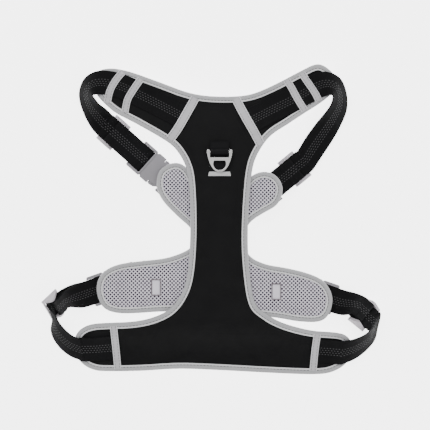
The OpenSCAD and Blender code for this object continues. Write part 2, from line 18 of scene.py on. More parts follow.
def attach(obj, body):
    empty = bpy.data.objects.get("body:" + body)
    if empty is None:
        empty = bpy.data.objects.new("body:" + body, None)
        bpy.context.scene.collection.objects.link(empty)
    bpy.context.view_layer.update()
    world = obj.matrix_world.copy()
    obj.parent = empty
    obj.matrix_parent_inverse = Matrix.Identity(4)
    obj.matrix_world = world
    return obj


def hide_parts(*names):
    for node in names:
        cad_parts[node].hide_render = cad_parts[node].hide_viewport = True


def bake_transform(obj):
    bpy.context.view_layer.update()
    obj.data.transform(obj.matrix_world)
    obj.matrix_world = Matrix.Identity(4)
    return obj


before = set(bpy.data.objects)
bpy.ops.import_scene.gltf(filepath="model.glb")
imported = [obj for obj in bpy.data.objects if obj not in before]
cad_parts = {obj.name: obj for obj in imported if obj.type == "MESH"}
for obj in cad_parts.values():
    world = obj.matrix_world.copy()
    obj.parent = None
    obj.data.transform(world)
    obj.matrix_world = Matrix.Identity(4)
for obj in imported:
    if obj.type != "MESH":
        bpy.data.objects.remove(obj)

logging.basicConfig(level=logging.INFO, format="%(levelname)s %(message)s")
LOG = logging.getLogger("harness")
MM = 0.001
SPINE_X = 6.6  # from the middle of the frame to the spine line, in millimetres
LINE_MID = 4.8  # height of a buckle's bar, in millimetres
TURN_RADIUS = 2.33  # of the webbing's middle round a buckle's bar, in millimetres
SEAM_IN = 2.05 * MM  # from the binding's inner edge to its seam
TACKS = ((-63.7, -69), (57.8, -73.3))  # middles of the tabs on the chest panel, in millimetres


# ---------- finishes ----------
class Weave(Enum):
    """How the surface of a finish is built up."""

    PLAIN = "plain"
    WEBBING = "webbing"
    TAPE = "tape"
    MOULDED = "moulded"
    CAST = "cast"


@dataclass(frozen=True)
class Finish:
    """A finish, in linear colour.

    Args:
        name: Name of the material.
        base: Base colour.
        accent: Colour of its printed marks, of the painted highlight on a tape's lip, or of the lighter end
            of its random tone.
        rough: Roughness.
        metal: Metallic.
        weave: Kind of surface.
        pitch: Size of its pattern, in metres.
        bump: Strength of its relief.
        slot: Material slot of the record that it shows; not used.
        gloss: Specular level.
    """

    name: str
    base: tuple[float, float, float]
    accent: tuple[float, float, float]
    rough: float
    metal: float
    weave: Weave
    pitch: float
    bump: float
    slot: str
    gloss: float = 0.08


class Finishes:
    """Every finish on the harness."""

    SHELL = Finish("shell cloth", (0.0050, 0.0050, 0.0054), (0.0088, 0.0088, 0.0092), 0.66, 0.0,
                   Weave.PLAIN, 0.0009, 0.35, "shell_cloth")
    LINING = Finish("mesh cloth", (0.72, 0.685, 0.76), (0.84, 0.81, 0.88), 0.85, 0.0,
                    Weave.PLAIN, 0.0007, 0.3, "mesh_lining")
    HOLES = Finish("mesh holes", (0.030, 0.020, 0.038), (0.045, 0.032, 0.055), 0.95, 0.0,
                   Weave.PLAIN, 0.0009, 0.2, "mesh_lining")
    WEBBING = Finish("marked webbing", (0.0042, 0.0042, 0.0046), (0.075, 0.075, 0.078), 0.72, 0.0,
                     Weave.WEBBING, 0.0011, 0.6, "black_webbing")
    PLAIN_WEBBING = Finish("plain webbing", (0.005, 0.005, 0.0055), (0.010, 0.010, 0.011), 0.72, 0.0,
                           Weave.PLAIN, 0.0013, 0.6, "black_webbing")
    # The tapes' light accent is the colour of the painted highlight on their raised lip.
    EDGE = Finish("edge tape", (0.42, 0.42, 0.43), (0.80, 0.795, 0.805), 0.62, 0.0,
                  Weave.TAPE, 0.0008, 0.4, "edge_tape")
    KEEPER = Finish("keeper tape", (0.52, 0.51, 0.53), (0.80, 0.79, 0.81), 0.62, 0.0,
                    Weave.TAPE, 0.0009, 0.45, "grey_webbing")
    TACK = Finish("tack thread", (0.19, 0.165, 0.185), (0.27, 0.24, 0.26), 0.7, 0.0,
                  Weave.PLAIN, 0.0004, 0.3, "grey_webbing")
    THREAD = Finish("thread", (0.05, 0.05, 0.053), (0.09, 0.09, 0.095), 0.7, 0.0,
                    Weave.PLAIN, 0.0004, 0.3, "edge_tape")
    LABEL = Finish("plain strip", (0.47, 0.47, 0.47), (0.62, 0.62, 0.62), 0.6, 0.0,
                   Weave.PLAIN, 0.0007, 0.4, "plain_label")
    PLASTIC = Finish("moulded grey", (0.235, 0.225, 0.242), (0.27, 0.26, 0.28), 0.42, 0.0,
                     Weave.MOULDED, 0.0012, 0.12, "moulded_plastic", 0.4)
    SLIDER = Finish("moulded light grey", (0.43, 0.40, 0.43), (0.49, 0.46, 0.49), 0.4, 0.0,
                    Weave.MOULDED, 0.0012, 0.12, "moulded_plastic", 0.4)
    METAL = Finish("cast metal", (0.60, 0.60, 0.59), (0.84, 0.84, 0.83), 0.26, 1.0,
                   Weave.CAST, 0.002, 0.1, "cast_metal", 0.5)


class Socket:
    """A shader output that arithmetic works on.

    Args:
        kit: The material that it belongs to.
        out: The output socket.
    """

    def __init__(self, kit: "MaterialKit", out: bpy.types.NodeSocket) -> None:
        self.kit = kit
        self.out = out

    def _math(self, operation: str, a: "Socket | float", b: "Socket | float" = 0.0) -> "Socket":
        return self.kit.node("ShaderNodeMath", {0: a, 1: b}, operation=operation)

    def __add__(self, other: "Socket | float") -> "Socket":
        return self._math("ADD", self, other)

    __radd__ = __add__

    def __mul__(self, other: "Socket | float") -> "Socket":
        return self._math("MULTIPLY", self, other)

    __rmul__ = __mul__

    def __sub__(self, other: "Socket | float") -> "Socket":
        return self._math("SUBTRACT", self, other)

    def __rsub__(self, other: "Socket | float") -> "Socket":
        return self._math("SUBTRACT", other, self)

    def __truediv__(self, other: "Socket | float") -> "Socket":
        return self._math("DIVIDE", self, other)

    def __rtruediv__(self, other: "Socket | float") -> "Socket":
        return self._math("DIVIDE", other, self)

    def __lt__(self, other: "Socket | float") -> "Socket":
        return self._math("LESS_THAN", self, other)

    def __gt__(self, other: "Socket | float") -> "Socket":
        return self._math("GREATER_THAN", self, other)

    def __abs__(self) -> "Socket":
        return self._math("ABSOLUTE", self)

    def sine(self) -> "Socket":
        """The sine of this value."""
        return self._math("SINE", self)

    def fraction(self) -> "Socket":
        """The part of this value after the point."""
        return self._math("FRACT", self)

    def whole(self) -> "Socket":
        """The whole number below this value."""
        return self._math("FLOOR", self)


class MaterialKit:
    """Builds the shader of one finish.

    Args:
        finish: The finish to build.
    """

    made: dict[str, bpy.types.Material] = {}

    def __init__(self, finish: Finish) -> None:
        self.finish = finish
        self.material = bpy.data.materials.new(finish.name)
        self.material.use_nodes = True
        self.tree = self.material.node_tree
        self.surface = self.tree.nodes["Principled BSDF"]

    def node(self, kind: str, inputs: dict | None = None, out: int | str = 0, **settings: object) -> Socket:
        """Adds a shader node.

        Args:
            kind: Node type.
            inputs: Values or sockets, by input name or number.
            out: Output to return.
            **settings: Properties of the node.

        Returns:
            The chosen output.
        """
        made = self.tree.nodes.new(kind)
        for key, value in settings.items():
            setattr(made, key, value)
        for key, value in (inputs or {}).items():
            self.feed(made.inputs[key], value)
        return Socket(self, made.outputs[out])

    def feed(self, target: bpy.types.NodeSocket, value: object) -> None:
        """Sets or links an input.

        Args:
            target: The input socket.
            value: A number, a colour or another socket.
        """
        if isinstance(value, Socket):
            self.tree.links.new(value.out, target)
        else:
            target.default_value = value

    def split(self, kind: str) -> tuple[Socket, Socket, Socket]:
        """The three parts of a texture coordinate.

        Args:
            kind: Object or UV.
        """
        coords = self.node("ShaderNodeTexCoord", out=kind)
        parts = self.node("ShaderNodeSeparateXYZ", {0: coords})
        outputs = parts.out.node.outputs
        return Socket(self, outputs[0]), Socket(self, outputs[1]), Socket(self, outputs[2])

    def noise(self, scale: float, detail: float = 2.0) -> Socket:
        """Noise on Object coordinates.

        Args:
            scale: Scale per metre.
            detail: Octaves.
        """
        coords = self.node("ShaderNodeTexCoord", out="Object")
        return self.node("ShaderNodeTexNoise", {"Vector": coords, "Scale": scale, "Detail": detail}, out=0)

    def tint(self, factor: Socket, a: tuple | Socket, b: tuple) -> Socket:
        """A colour between two.

        Args:
            factor: How far towards b.
            a: First colour.
            b: Second colour.
        """
        made = self.tree.nodes.new("ShaderNodeMix")
        made.data_type = "RGBA"
        self.feed(made.inputs[0], factor)
        self.feed(made.inputs[6], a if isinstance(a, Socket) else (*a, 1.0))
        self.feed(made.inputs[7], (*b, 1.0))
        return Socket(self, made.outputs[2])

    def build(self) -> bpy.types.Material:
        """Builds the shader.

        Returns:
            The material.
        """
        f = self.finish
        turn = 2 * math.pi / f.pitch
        inputs = self.surface.inputs
        self.feed(inputs["Roughness"], f.rough)
        self.feed(inputs["Metallic"], f.metal)
        self.feed(inputs["Specular IOR Level"], f.gloss)
        wear = self.noise(60.0, 3.0)
        if f.weave is Weave.WEBBING:
            row_gap, dash_gap, marks_reach, rib_pitch = 2.2 * MM, 3.0 * MM, 4.4 * MM, 1.6 * MM
            u, v, _ = self.split("UV")
            rows = v / row_gap
            row = rows.whole()
            stagger = (row * 0.5).fraction()
            along = (u / dash_gap + stagger).fraction()
            across = abs(rows - row - 0.5)
            marked = (along < 0.48) * (across < 0.14) * (abs(v) < marks_reach)
            height = ((u + v) * turn).sine() * 0.5 + ((u * 0.5 - v) * turn * 1.4).sine() * 0.35
            height = height + marked * 0.8
            # Painted sheen: stripes along the ribs lighten the black up to 1.9 times its base, a painted
            # highlight on the weave's crests, mixed with random tone from the noise.
            rib_sheen_and_wear = ((u + v * 0.6) * (2 * math.pi / rib_pitch)).sine() * 0.3 + wear
            sheen_and_wear_colour = self.tint(rib_sheen_and_wear, f.base, tuple(c * 1.9 for c in f.base))
            self.feed(inputs["Base Color"], self.tint(marked, sheen_and_wear_colour, f.accent))
            self.feed(inputs["Roughness"], f.rough - marked * 0.2)
        elif f.weave is Weave.TAPE:
            u, v, _ = self.split("UV")
            # Painted highlight: where v runs from 0.83 to 0.985, near the tape's raised edge, it is painted
            # towards its light accent, standing in for light on the lip. The noise adds random tone.
            lip_highlight = (v > 0.83) * (v < 0.985)
            height = (u * turn).sine() * 0.4 + wear * 0.5
            self.feed(inputs["Base Color"], self.tint(lip_highlight * 0.8 + (wear - 0.5) * 0.25, f.base, f.accent))
        elif f.weave is Weave.PLAIN:
            x, y, _ = self.split("Object")
            height = (x * turn).sine() * (y * turn).sine() * 0.5 + wear * 0.3
            self.feed(inputs["Base Color"], self.tint(wear * 1.2 - 0.1, f.base, f.accent))
            self.feed(inputs["Roughness"], f.rough + (wear - 0.5) * 0.12)
        else:
            height = self.noise(1.0 / f.pitch, 4.0)
            self.feed(inputs["Base Color"], self.tint(wear, f.base, f.accent))
            self.feed(inputs["Roughness"], f.rough + (wear - 0.5) * 0.14)
        depth = 0.12 * MM if f.weave in (Weave.MOULDED, Weave.CAST) else 0.22 * MM
        bump = self.node("ShaderNodeBump", {"Strength": f.bump, "Distance": depth, "Height": height})
        self.feed(inputs["Normal"], bump)
        return self.material

    @classmethod
    def of(cls, finish: Finish) -> bpy.types.Material:
        """The material of a finish, built once.

        Args:
            finish: The finish.

        Returns:
            Its material.
        """
        if finish.name not in cls.made:
            cls.made[finish.name] = cls(finish).build()
        return cls.made[finish.name]


# ---------- curves ----------
def at(x: float, y: float, z: float) -> Vector:
    """A point in the frame.

    Args:
        x: Distance from the spine line, in millimetres.
        y: Distance towards the neck, in millimetres.
        z: Height, in millimetres.
    """
    return Vector(((x + SPINE_X) * MM, y * MM, z * MM))


def facing(azimuth: float, elevation: float) -> Vector:
    """A direction.

    Args:
        azimuth: Angle about Z from X, in degrees.
        elevation: Angle above the table, in degrees.
    """
    a, e = math.radians(azimuth), math.radians(elevation)
    return Vector((math.cos(a) * math.cos(e), math.sin(a) * math.cos(e), math.sin(e)))


def spline(a: Vector, b: Vector, c: Vector, d: Vector, t: float) -> Vector:
    """A point between b and c on a smooth curve through four points.

    Args:
        a: Point before.
        b: Start.
        c: End.
        d: Point after.
        t: Share of the way from b to c.
    """
    return (2 * b + (c - a) * t + (2 * a - 5 * b + 4 * c - d) * t * t + (3 * b - a - 3 * c + d) * t ** 3) / 2


Station = tuple[Vector, Vector]


def smooth(stops: Sequence[Station], step: float = 1.8 * MM) -> list[Station]:
    """Stations spaced evenly enough along a smooth curve.

    Args:
        stops: Points, each with the direction to the ribbon's edge.
        step: Largest distance between stations.
    """
    made: list[Station] = []
    last = len(stops) - 1
    for i in range(last):
        four = [stops[max(i - 1, 0)], stops[i], stops[i + 1], stops[min(i + 2, last)]]
        count = max(1, math.ceil((stops[i + 1][0] - stops[i][0]).length / step))
        for k in range(count):
            t = k / count
            made.append((spline(*(s[0] for s in four), t), spline(*(s[1] for s in four), t).normalized()))
    made.append((stops[-1][0].copy(), stops[-1][1].normalized()))
    return made


class Outline:
    """The edge of a panel, read from a CAD node's top edge.

    Args:
        node: A node that is as large as the panel.
        grow: How far the panel's edge is outside the node's.
        top: Height of the panel's top where it isn't sagging.
    """

    UPRIGHT, LEVEL = 0.2, 0.6  # most and least of the upward normal of a wall and of a top

    def __init__(self, node: str, grow: float, top: float) -> None:
        bm = bmesh.new()
        bm.from_mesh(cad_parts[node].data)
        bmesh.ops.remove_doubles(bm, verts=bm.verts, dist=1e-6)
        bm.normal_update()
        links: dict[int, list] = {}
        for edge in bm.edges:
            if len(edge.link_faces) != 2:
                continue
            low, high = sorted(f.normal.z for f in edge.link_faces)
            if abs(low) < self.UPRIGHT and high > self.LEVEL:
                for vert in edge.verts:
                    links.setdefault(vert.index, []).append(edge.other_vert(vert))
        bm.verts.ensure_lookup_table()
        start = next(iter(links))
        loop = [bm.verts[start]]
        before = None
        while True:
            here = loop[-1]
            nexts = [v for v in links[here.index] if v is not before]
            if not nexts or nexts[0].index == start:
                break
            before = here
            loop.append(nexts[0])
        points = [v.co.copy() for v in loop]
        bm.free()
        if sum(a.x * b.y - b.x * a.y for a, b in zip(points, points[1:] + points[:1])) < 0:
            points.reverse()
        self.drops = sorted((p.y, p.z - top) for p in points)
        n = len(points)
        fine: list[Vector] = []
        for i in range(n):
            a, b, c, d = (points[(i + k) % n] for k in (-1, 0, 1, 2))
            count = max(1, round((c - b).length / (2.2 * MM)))
            fine += [spline(a, b, c, d, k / count) for k in range(count)]
        for _ in range(2):
            fine = [(fine[i - 1] + 2 * fine[i] + fine[(i + 1) % len(fine)]) / 4 for i in range(len(fine))]
        self.edge = [Vector((p.x, p.y, 0)) for p in fine]
        self.edge = self.moved(-grow)
        LOG.info("outline of %s has %d points", node, len(self.edge))

    def moved(self, inwards: float) -> list[Vector]:
        """The outline moved inwards.

        Args:
            inwards: Distance, in metres.
        """
        n = len(self.edge)
        made = []
        for i, p in enumerate(self.edge):
            d = (self.edge[(i + 1) % n] - self.edge[i - 1]).normalized()
            made.append(p + inwards * Vector((-d.y, d.x, 0)))
        return made

    def drop(self, y: float) -> float:
        """How far the panel sags at y.

        Args:
            y: Distance towards the neck, in metres.
        """
        rows = self.drops
        if y <= rows[0][0]:
            return rows[0][1]
        if y >= rows[-1][0]:
            return rows[-1][1]
        low, high = 0, len(rows) - 1
        while high - low > 1:
            mid = (low + high) // 2
            low, high = (mid, high) if rows[mid][0] <= y else (low, mid)
        (ya, za), (yb, zb) = rows[low], rows[high]
        return za if yb - ya < 1e-7 else za + (zb - za) * (y - ya) / (yb - ya)

    @staticmethod
    def inside(x: float, y: float, pts: Sequence[Vector]) -> bool:
        """Whether a point is inside a closed line.

        Args:
            x: Its x.
            y: Its y.
            pts: The closed line.
        """
        found = False
        for a, b in zip(pts, [*pts[1:], pts[0]]):
            if (a.y > y) != (b.y > y) and x < a.x + (y - a.y) * (b.x - a.x) / (b.y - a.y):
                found = not found
        return found


# ---------- mesh helpers ----------
class Maker:
    """Turns meshes into finished pieces."""

    @staticmethod
    def piece(name: str, bm: bmesh.types.BMesh, *finishes: Finish, soft: bool = True) -> bpy.types.Object:
        """Makes an object.

        Args:
            name: Its name.
            bm: Its mesh, which is freed.
            *finishes: Its finishes, in slot order.
            soft: Whether it is smooth shaded.

        Returns:
            The object.
        """
        name = name.replace(" ", "_")
        mesh = bpy.data.meshes.new(name)
        for face in bm.faces:
            face.smooth = soft
        bm.to_mesh(mesh)
        bm.free()
        made = bpy.data.objects.new(name, mesh)
        bpy.context.scene.collection.objects.link(made)
        for finish in finishes:
            mesh.materials.append(MaterialKit.of(finish))
        LOG.info("%s: %d faces", name, len(mesh.polygons))
        return made

    @staticmethod
    def loft(rings: Sequence[Sequence[Vector]], uvs: Sequence[Sequence[tuple[float, float]]],
             closed: bool) -> bmesh.types.BMesh:
        """A skin over closed rings of points.

        Args:
            rings: The rings, each with as many points.
            uvs: A texture coordinate for each point and one more to close its ring.
            closed: Whether the last ring joins the first.

        Returns:
            The mesh.
        """
        bm = bmesh.new()
        layer = bm.loops.layers.uv.new("UVMap")
        verts = [[bm.verts.new(p) for p in ring] for ring in rings]
        n, m = len(rings), len(rings[0])
        for i in range(n if closed else n - 1):
            j = (i + 1) % n
            for k in range(m):
                q = (k + 1) % m
                face = bm.faces.new((verts[i][k], verts[i][q], verts[j][q], verts[j][k]))
                spots = (uvs[i][k], uvs[i][k + 1], uvs[i + 1][k + 1], uvs[i + 1][k])
                for corner, spot in zip(face.loops, spots):
                    corner[layer].uv = spot
        if not closed:
            for ring, uv in ((verts[0], uvs[0]), (verts[-1], uvs[n - 1])):
                face = bm.faces.new(ring)
                for corner, spot in zip(face.loops, uv):
                    corner[layer].uv = spot
        bmesh.ops.recalc_face_normals(bm, faces=bm.faces)
        return bm


@dataclass
class RibbonSize:
    """Sizes of a woven strip.

    Args:
        width: Width.
        thick: Thickness.
        curl: How much thicker its selvedge is.
    """

    width: float = 25 * MM
    thick: float = 1.3 * MM
    curl: float = 0.1 * MM


class Ribbon:
    """A woven strip that follows stations.

    Args:
        size: Its sizes.
    """

    def __init__(self, size: RibbonSize | None = None) -> None:
        self.size = size or RibbonSize()

    def section(self) -> list[tuple[float, float]]:
        """The strip's cross section, as distances across and up."""
        w, t, c = self.size.width / 2, self.size.thick / 2, self.size.curl
        edge = min(0.9 * MM, w * 0.2)
        upper = [(w, 0.0), (w - edge * 0.15, t * 0.65), (w - edge * 0.6, t + c * 0.4), (w - edge * 1.3, t),
                 (w * 0.55, t - c), (0.0, t - c * 0.6), (-w * 0.55, t - c), (-w + edge * 1.3, t),
                 (-w + edge * 0.6, t + c * 0.4), (-w + edge * 0.15, t * 0.65)]
        return upper + [(-a, -b) for a, b in upper]

    def make(self, name: str, stops: Sequence[Station], finish: Finish, tape: bool = False,
             step: float = 1.8 * MM) -> bpy.types.Object:
        """Makes the strip.

        Args:
            name: Its name.
            stops: Its stations.
            finish: Its finish.
            tape: Whether v runs from 0 to 1 across it, as a tape's does.
            step: Largest distance between rings.

        Returns:
            The object.
        """
        run = smooth(stops, step)
        section = self.section()
        rings, uvs, length = [], [], 0.0
        for i, (spot, side) in enumerate(run):
            ahead = (run[min(i + 1, len(run) - 1)][0] - run[max(i - 1, 0)][0]).normalized()
            rise = ahead.cross(side).normalized()
            if i:
                length += (spot - run[i - 1][0]).length
            rings.append([spot + side * a + rise * b for a, b in section])
            row = [(length, abs(a) / self.size.width * 2 if tape else a) for a, _ in section]
            uvs.append(row + [row[0]])
        return Maker.piece(name, Maker.loft(rings, uvs, False), finish)


class Softened:
    """Rounded copies of CAD nodes.

    Args:
        radius: Radius of the rounded edges.
        steps: Segments of a rounded edge.
    """

    MERGE = 0.002 * MM
    FLAT = math.radians(1.5)
    SHARP = math.radians(32)

    def __init__(self, radius: float, steps: int = 2) -> None:
        self.radius = radius
        self.steps = steps

    def make(self, node: str, finish: Finish, name: str, body: str) -> bpy.types.Object:
        """Makes a rounded copy that takes its node's place.

        Args:
            node: CAD node.
            finish: Its finish.
            name: Name of the copy.
            body: Body it moves with.

        Returns:
            The object.
        """
        bm = bmesh.new()
        bm.from_mesh(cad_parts[node].data)
        bmesh.ops.remove_doubles(bm, verts=bm.verts, dist=self.MERGE)
        bmesh.ops.dissolve_limit(bm, angle_limit=self.FLAT, verts=bm.verts, edges=bm.edges)
        sharp = [e for e in bm.edges if len(e.link_faces) == 2 and e.calc_face_angle(0.0) > self.SHARP]
        bmesh.ops.bevel(bm, geom=sharp, offset=self.radius, offset_type="OFFSET", segments=self.steps,
                        profile=0.5, affect="EDGES", clamp_overlap=True, material=-1)
        bmesh.ops.triangulate(bm, faces=[f for f in bm.faces if len(f.verts) > 4])
        made = Maker.piece(name, bm, finish)
        for edge in made.data.edges:
            edge.use_edge_sharp = False
        weighted = made.modifiers.new("normals", "WEIGHTED_NORMAL")
        weighted.keep_sharp = False
        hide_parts(node)
        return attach(made, body)


class Stitching:
    """Runs of thread that lie on a surface.

    Args:
        length: Length of a stitch.
        pitch: Distance from one stitch to the next.
        radius: Radius of the thread.
    """

    def __init__(self, length: float = 2.5 * MM, pitch: float = 3.4 * MM, radius: float = 0.34 * MM) -> None:
        self.length = length
        self.pitch = pitch
        self.radius = radius

    def make(self, name: str, lines: Sequence[Sequence[Vector]], finish: Finish = Finishes.THREAD,
             body: str = "harness") -> bpy.types.Object:
        """Makes stitches along lines.

        Args:
            name: Name of the piece.
            lines: Lines of points.
            finish: Finish of the thread.
            body: Body it moves with.

        Returns:
            The object.
        """
        bm = bmesh.new()
        for line in lines:
            travelled, due = 0.0, self.pitch / 2
            for a, b in zip(line, line[1:]):
                span = (b - a).length
                while span > 0 and travelled + span >= due:
                    middle = a.lerp(b, (due - travelled) / span)
                    turn = (b - a).to_track_quat("Z", "X").to_matrix().to_4x4()
                    size = Matrix.Diagonal((self.radius, self.radius, self.length / 2, 1))
                    bmesh.ops.create_uvsphere(bm, u_segments=6, v_segments=4, radius=1,
                                              matrix=Matrix.Translation(middle) @ turn @ size)
                    due += self.pitch
                travelled += span
        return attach(Maker.piece(name, bm, finish), body)


# ---------- panels ----------
@dataclass
class PanelSize:
    """Sizes of a padded panel.

    Args:
        low: Underside of its core.
        high: Top of its core.
        binding: Width of its edge binding.
        tape: Thickness of the binding.
        swell: How far its middle may swell.
    """

    low: float
    high: float
    binding: float = 6.3 * MM
    tape: float = 0.7 * MM
    swell: float = 0.9 * MM


class Panel:
    """A foam panel between cloth and mesh, with a bound edge.

    Args:
        name: Its name.
        size: Its sizes.
        outline: Its outline.
    """

    PRESSURE = 4.0
    STIFFNESS = 0.6
    FRAMES = 20
    VOXEL = 3.0 * MM
    # The mesh cloth's cells: share of a cell's side that the thread, the lip and the wall take, and
    # how deep the lip and the wall go
    THREAD_SHARE = 0.105
    LIP_SHARE, LIP_DEPTH = 0.04, -0.12 * MM
    WALL_SHARE, WALL_DEPTH = 0.02, -0.4 * MM
    CLOTH_LIFT = 0.42 * MM
    # The tape's section: millimetres from its inner edge, then from its outer edge, each with the
    # share of its thickness there. The dip in the first is where the seam pulls it in.
    INNER_HALF = ((0.0, 0.05), (0.10, 0.62), (0.5, 0.95), (1.1, 0.85), (1.75, 0.68), (2.05, 0.35),
                  (2.35, 0.68), (3.0, 0.95))
    OUTER_HALF = ((2.0, 1.0), (1.0, 0.72), (0.35, 0.1))

    def __init__(self, name: str, size: PanelSize, outline: Outline) -> None:
        self.name = name
        self.size = size
        self.outline = outline

    def height(self, y: float, z: float) -> float:
        """Where a level of the panel lies at y.

        Args:
            y: Distance towards the neck.
            z: The level where it isn't sagging.
        """
        return z + self.outline.drop(y)

    def slab(self) -> bpy.types.Object:
        """The flat core before it is swollen."""
        bm = bmesh.new()
        shrink = 0.35 * MM
        inset = 2.2 * MM
        base = [bm.verts.new((p.x, p.y, self.size.low + shrink)) for p in self.outline.moved(inset)]
        face = bm.faces.new(base)
        made = bmesh.ops.extrude_face_region(bm, geom=[face])
        lift = self.size.high - self.size.low - 2 * shrink
        bmesh.ops.translate(bm, verts=[v for v in made["geom"] if isinstance(v, bmesh.types.BMVert)],
                            vec=(0, 0, lift))
        bmesh.ops.triangulate(bm, faces=bm.faces)
        bmesh.ops.recalc_face_normals(bm, faces=bm.faces)
        return Maker.piece(f"{self.name} pad", bm, Finishes.SHELL, Finishes.LINING)

    def firmness(self, spot: Vector, sewn: Sequence[tuple[float, float]], reach: float) -> float:
        """How firmly the edge and the seams hold the pad at a point.

        Args:
            spot: The point.
            sewn: Points that the seams run through, in millimetres.
            reach: How far from them the hold ends.
        """
        free, fade = 5 * MM, 6 * MM
        best = min((spot.xy - p.xy).length for p in self.outline.edge[::3])
        firm = 1.0 - min(1.0, max(0.0, (best - free) / fade))
        for x, y in sewn:
            gap = (spot.xy - at(x, y, 0).xy).length
            firm = max(firm, 1.0 - min(1.0, gap / reach))
        return firm

    @staticmethod
    def bake(piece: bpy.types.Object) -> None:
        """Applies every modifier of a piece.

        Args:
            piece: The piece.
        """
        graph = bpy.context.evaluated_depsgraph_get()
        mesh = bpy.data.meshes.new_from_object(piece.evaluated_get(graph), depsgraph=graph)
        piece.modifiers.clear()
        old = piece.data
        piece.data = mesh
        bpy.data.meshes.remove(old)

    def swell(self, piece: bpy.types.Object, held: Callable[[Vector], float]) -> None:
        """Swells the foam with the cloth solver, held at its seams.

        Args:
            piece: The flat core.
            held: How firmly a point is held, from 0 to 1.
        """
        rest = [v.co.copy() for v in piece.data.vertices]
        group = piece.vertex_groups.new(name="held")
        for vert in piece.data.vertices:
            group.add([vert.index], held(vert.co), "REPLACE")
        cloth = piece.modifiers.new("cloth", "CLOTH")
        settings = cloth.settings
        settings.vertex_group_mass = "held"
        settings.use_pressure = True
        settings.uniform_pressure_force = self.PRESSURE
        settings.quality = 5
        settings.shrink_min = -0.02
        settings.effector_weights.gravity = 0.0
        settings.bending_stiffness = self.STIFFNESS
        scene = bpy.context.scene
        for number in range(1, self.FRAMES + 1):
            scene.frame_set(number)
        self.bake(piece)
        cap = self.size.swell
        for vert, old in zip(piece.data.vertices, rest):
            move = vert.co - old
            move.x *= 0.3
            move.y *= 0.3
            if move.length > cap:
                move *= cap / move.length
            vert.co = old + move * (1.0 - 0.85 * held(old))

    def core(self, crease: Callable[[Vector], float], held: Callable[[Vector], float], up: Finish,
             down: Finish) -> bpy.types.Object:
        """Makes the padded core.

        Args:
            crease: Height that creases add to the top at a point.
            held: How firmly a seam holds a point.
            up: Finish of the upper side.
            down: Finish of the underside.

        Returns:
            The object.
        """
        piece = self.slab()
        remesh = piece.modifiers.new("remesh", "REMESH")
        remesh.mode = "VOXEL"
        remesh.voxel_size = self.VOXEL
        self.bake(piece)
        self.swell(piece, held)
        subdivide = piece.modifiers.new("subdivide", "SUBSURF")
        subdivide.levels = 1
        subdivide.render_levels = 1
        self.bake(piece)
        middle = (self.size.low + self.size.high) / 2
        for vert in piece.data.vertices:
            if vert.co.z > middle:
                vert.co.z += crease(vert.co)
            vert.co.z += self.outline.drop(vert.co.y)
        piece.data.materials.clear()
        piece.data.materials.append(MaterialKit.of(up))
        piece.data.materials.append(MaterialKit.of(down))
        piece.data.update()
        for poly in piece.data.polygons:
            poly.use_smooth = True
            poly.material_index = 0 if poly.normal.z > -0.2 else 1
        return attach(piece, "harness")

    def binding(self, node: str) -> bpy.types.Object:
        """Makes the tape folded round the edge.

        Args:
            node: CAD node it stands for.

        Returns:
            The object.
        """
        w, t = self.size.binding, self.size.tape
        half = [(w - d * MM, h) for d, h in self.INNER_HALF] + [(d * MM, h) for d, h in self.OUTER_HALF]
        turns = 2 * len(half)
        middle = (self.size.low + self.size.high) / 2
        profile = [(d, self.size.high + t * h, 1 - i / turns) for i, (d, h) in enumerate(half)]
        profile += [(0.0, middle + 1.1 * MM, 0.5), (0.0, middle - 1.1 * MM, 0.5)]
        below = [(d, self.size.low - t * h, 1 - i / turns) for i, (d, h) in enumerate(half)]
        profile += reversed(below)
        inner = [(w - 0.2 * MM, self.size.low + 0.3 * MM), (w - 0.2 * MM, self.size.high - 0.3 * MM)]
        profile += [(d, z, 0.2) for d, z in inner]
        lines = {d: self.outline.moved(d) for d in {p[0] for p in profile}}
        across = [v for _, _, v in (*profile, profile[0])]
        edge = self.outline.edge
        rings, length = [], 0.0
        uvs = [[(length, v) for v in across]]
        for i, here in enumerate(edge):
            spots = [(lines[d][i], z) for d, z, _ in profile]
            rings.append([Vector((p.x, p.y, self.height(p.y, z))) for p, z in spots])
            length += (edge[(i + 1) % len(edge)] - here).length
            uvs.append([(length, v) for v in across])
        made = Maker.piece(f"{self.name} edge tape", Maker.loft(rings, uvs, True), Finishes.EDGE)
        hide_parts(node)
        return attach(made, "harness")

    def seam(self) -> bpy.types.Object:
        """Makes the stitches that hold the binding."""
        line = self.outline.moved(self.size.binding - SEAM_IN)
        line.append(line[0])
        levels = (self.size.high + self.size.tape * 0.55, self.size.low - self.size.tape * 0.45)
        runs = [[Vector((p.x, p.y, self.height(p.y, level))) for p in line] for level in levels]
        return Stitching().make(f"{self.name} edge seam", runs)

